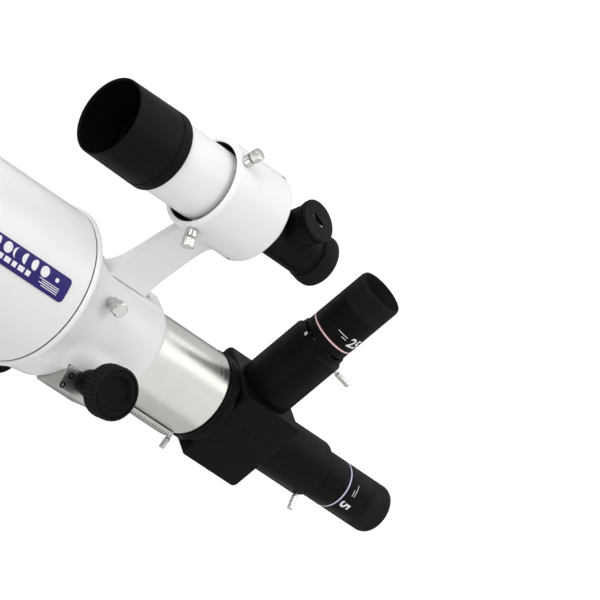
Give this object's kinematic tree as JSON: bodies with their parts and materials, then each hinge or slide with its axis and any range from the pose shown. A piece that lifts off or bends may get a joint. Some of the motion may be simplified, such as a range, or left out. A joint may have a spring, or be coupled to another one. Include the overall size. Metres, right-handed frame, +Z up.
{
  "type": "refractor telescope",
  "caption": "Refractor telescope tube with rack focuser, finder scope, flip mirror for two eyepieces, hinged tube rings and a dovetail plate.",
  "frame": {"origin": "centre of the dovetail plate's underside", "axes": "+X along the optical axis from the sky to the eyepieces, +Z up from the plate to the tube, -Y the side of the finder and side eyepiece"},
  "size_m": [1.0542, 0.1756, 0.231],
  "materials": {
    "white_enamel": "glossy baked enamel",
    "black_paint": "fine satin black paint",
    "black_anodised": "satin black anodised",
    "black_rubber": "matt moulded rubber",
    "satin_chrome": "satin chrome, turned",
    "bright_chrome": "bright plated",
    "steel": "brushed",
    "silver_alloy": "satin extruded",
    "lens_glass": "coated optical glass",
    "silvered_glass": "first-surface mirror",
    "label_navy": "printed foil label"
  },
  "bodies": {
    "optical_tube": {"main_tube": "white_enamel", "objective_cell": "black_paint", "objective_front_lens": "lens_glass", "objective_rear_lens": "lens_glass", "dew_shield": "white_enamel", "label_plate": "label_navy", "focuser_body": "white_enamel", "pinion_bracket": "steel", "finder_bracket": "white_enamel", "finder_tube": "white_enamel", "finder_rubber_ring": "black_rubber", "finder_rear_body": "black_paint", "finder_eye_lens": "lens_glass", "tube_ring_front_lower": "white_enamel", "tube_ring_rear_lower": "white_enamel", "dovetail_plate": "silver_alloy"},
    "finder_objective": {"finder_dew_shield": "black_paint", "finder_front_lens": "lens_glass"},
    "finder_eyecup_turner": {"finder_eyecup": "black_rubber"},
    "finder_lamp_cover": {"finder_lamp_cap": "black_paint"},
    "drawtube_unit": {"drawtube": "satin_chrome", "drawtube_end_ring": "black_anodised", "focus_rack": "steel"},
    "pinion_unit": {"pinion_shaft": "steel", "focus_knob_left": "black_anodised", "focus_knob_right": "black_anodised", "knob_grip_left": "black_rubber", "knob_grip_right": "black_rubber"},
    "flip_unit": {"flip_nose": "black_anodised", "flip_box": "black_paint", "side_port": "black_anodised", "rear_port": "black_anodised"},
    "flip_mirror_unit": {"flip_mirror_holder": "black_anodised", "flip_mirror": "silvered_glass", "flip_knob": "black_anodised"},
    "eyepiece_25": {"eyepiece_25_barrel": "bright_chrome", "eyepiece_25_body": "black_anodised", "eyepiece_25_eyecup": "black_rubber", "eyepiece_25_eye_lens": "lens_glass"},
    "eyepiece_5": {"eyepiece_5_barrel": "bright_chrome", "eyepiece_5_body": "black_anodised", "eyepiece_5_eyecup": "black_rubber", "eyepiece_5_eye_lens": "lens_glass"},
    "drawtube_thumbscrew": {"drawtube_screw": "bright_chrome"},
    "side_port_thumbscrew": {"side_port_screw": "bright_chrome"},
    "rear_port_thumbscrew": {"rear_port_screw": "bright_chrome"},
    "finder_clamp_set_screw": {"finder_clamp_screw": "bright_chrome"},
    "focus_lock_thumbscrew": {"focus_lock_screw": "bright_chrome"},
    "finder_thumbscrew_top": {"finder_screw_top": "bright_chrome"},
    "finder_thumbscrew_near": {"finder_screw_near": "bright_chrome"},
    "finder_thumbscrew_far": {"finder_screw_far": "bright_chrome"},
    "ring_front_upper": {"tube_ring_front_upper": "white_enamel"},
    "ring_rear_upper": {"tube_ring_rear_upper": "white_enamel"},
    "ring_front_knob": {"tube_ring_front_knob": "black_anodised"},
    "ring_rear_knob": {"tube_ring_rear_knob": "black_anodised"}
  },
  "joints": [
    {"name": "drawtube_focus", "type": "slide", "parent": "optical_tube", "child": "drawtube_unit", "axis": [1, 0, 0], "range_m": [-0.027, 0.025]},
    {"name": "pinion_spin", "type": "hinge", "parent": "optical_tube", "child": "pinion_unit", "pos_m": [0.3, 0, 0.0443], "axis": [0, 1, 0], "range_deg": [-390, 360]},
    {"name": "flip_unit_turn", "type": "hinge", "parent": "drawtube_unit", "child": "flip_unit", "pos_m": [0.42, 0, 0.084], "axis": [1, 0, 0], "continuous": true},
    {"name": "flip_mirror_swing", "type": "hinge", "parent": "flip_unit", "child": "flip_mirror_unit", "pos_m": [0.4753, -0.01104, 0.10139], "axis": [0, 0.8443, 0.5358], "range_deg": [0, 45]},
    {"name": "eyepiece_25_slide", "type": "slide", "parent": "flip_unit", "child": "eyepiece_25", "axis": [0, -0.5358, 0.8443], "range_m": [0, 0.02]},
    {"name": "eyepiece_5_slide", "type": "slide", "parent": "flip_unit", "child": "eyepiece_5", "axis": [1, 0, 0], "range_m": [0, 0.02]},
    {"name": "drawtube_screw_turn", "type": "hinge", "parent": "drawtube_unit", "child": "drawtube_thumbscrew", "pos_m": [0.4195, 0.00695, 0.04461], "axis": [0, 0.1736, -0.9848], "range_deg": [0, 360]},
    {"name": "side_port_screw_turn", "type": "hinge", "parent": "flip_unit", "child": "side_port_thumbscrew", "pos_m": [0.47895, -0.05233, 0.14033], "axis": [0.866, -0.4222, -0.2679], "range_deg": [0, 360]},
    {"name": "rear_port_screw_turn", "type": "hinge", "parent": "flip_unit", "child": "rear_port_thumbscrew", "pos_m": [0.533, -0.00582, 0.05661], "axis": [0, -0.2079, -0.9781], "range_deg": [0, 360]},
    {"name": "finder_clamp_screw_turn", "type": "hinge", "parent": "optical_tube", "child": "finder_clamp_set_screw", "pos_m": [0.31, -0.00667, 0.11998], "axis": [0, 0.8829, 0.4695], "range_deg": [0, 360]},
    {"name": "focus_lock_screw_turn", "type": "hinge", "parent": "optical_tube", "child": "focus_lock_thumbscrew", "pos_m": [0.284, -0.04839, 0.09616], "axis": [0, -0.9703, -0.2419], "range_deg": [0, 360]},
    {"name": "finder_screw_top_turn", "type": "hinge", "parent": "optical_tube", "child": "finder_thumbscrew_top", "pos_m": [0.291, -0.08737, 0.22196], "axis": [0, -0.7314, 0.682], "range_deg": [0, 360]},
    {"name": "finder_screw_near_turn", "type": "hinge", "parent": "optical_tube", "child": "finder_thumbscrew_near", "pos_m": [0.291, -0.07069, 0.15971], "axis": [0, -0.2924, -0.9563], "range_deg": [0, 360]},
    {"name": "finder_screw_far_turn", "type": "hinge", "parent": "optical_tube", "child": "finder_thumbscrew_far", "pos_m": [0.291, -0.02255, 0.20459], "axis": [0, 0.9744, 0.225], "range_deg": [0, 360]},
    {"name": "finder_lamp_cap_turn", "type": "hinge", "parent": "optical_tube", "child": "finder_lamp_cover", "pos_m": [0.3674, -0.08491, 0.21391], "axis": [0, -0.8171, 0.5764], "range_deg": [0, 90]},
    {"name": "finder_focus_turn", "type": "hinge", "parent": "optical_tube", "child": "finder_objective", "pos_m": [0.23, -0.05958, 0.19605], "axis": [1, 0, 0], "range_deg": [-180, 180]},
    {"name": "finder_eyecup_turn", "type": "hinge", "parent": "optical_tube", "child": "finder_eyecup_turner", "pos_m": [0.4, -0.05958, 0.19605], "axis": [1, 0, 0], "range_deg": [-90, 90]},
    {"name": "ring_front_open", "type": "hinge", "parent": "optical_tube", "child": "ring_front_upper", "pos_m": [-0.1, 0.073, 0.084], "axis": [-1, 0, 0], "range_deg": [0, 100]},
    {"name": "ring_front_knob_turn", "type": "hinge", "parent": "ring_front_upper", "child": "ring_front_knob", "pos_m": [-0.1, -0.077, 0.099], "axis": [0, 0, 1], "range_deg": [0, 360]},
    {"name": "ring_rear_open", "type": "hinge", "parent": "optical_tube", "child": "ring_rear_upper", "pos_m": [0.1, 0.073, 0.084], "axis": [-1, 0, 0], "range_deg": [0, 100]},
    {"name": "ring_rear_knob_turn", "type": "hinge", "parent": "ring_rear_upper", "child": "ring_rear_knob", "pos_m": [0.1, -0.077, 0.099], "axis": [0, 0, 1], "range_deg": [0, 360]}
  ],
  "couplings": [
    {"joint": "pinion_spin", "follows": "drawtube_focus", "rad_per_m": 238.1}
  ]
}
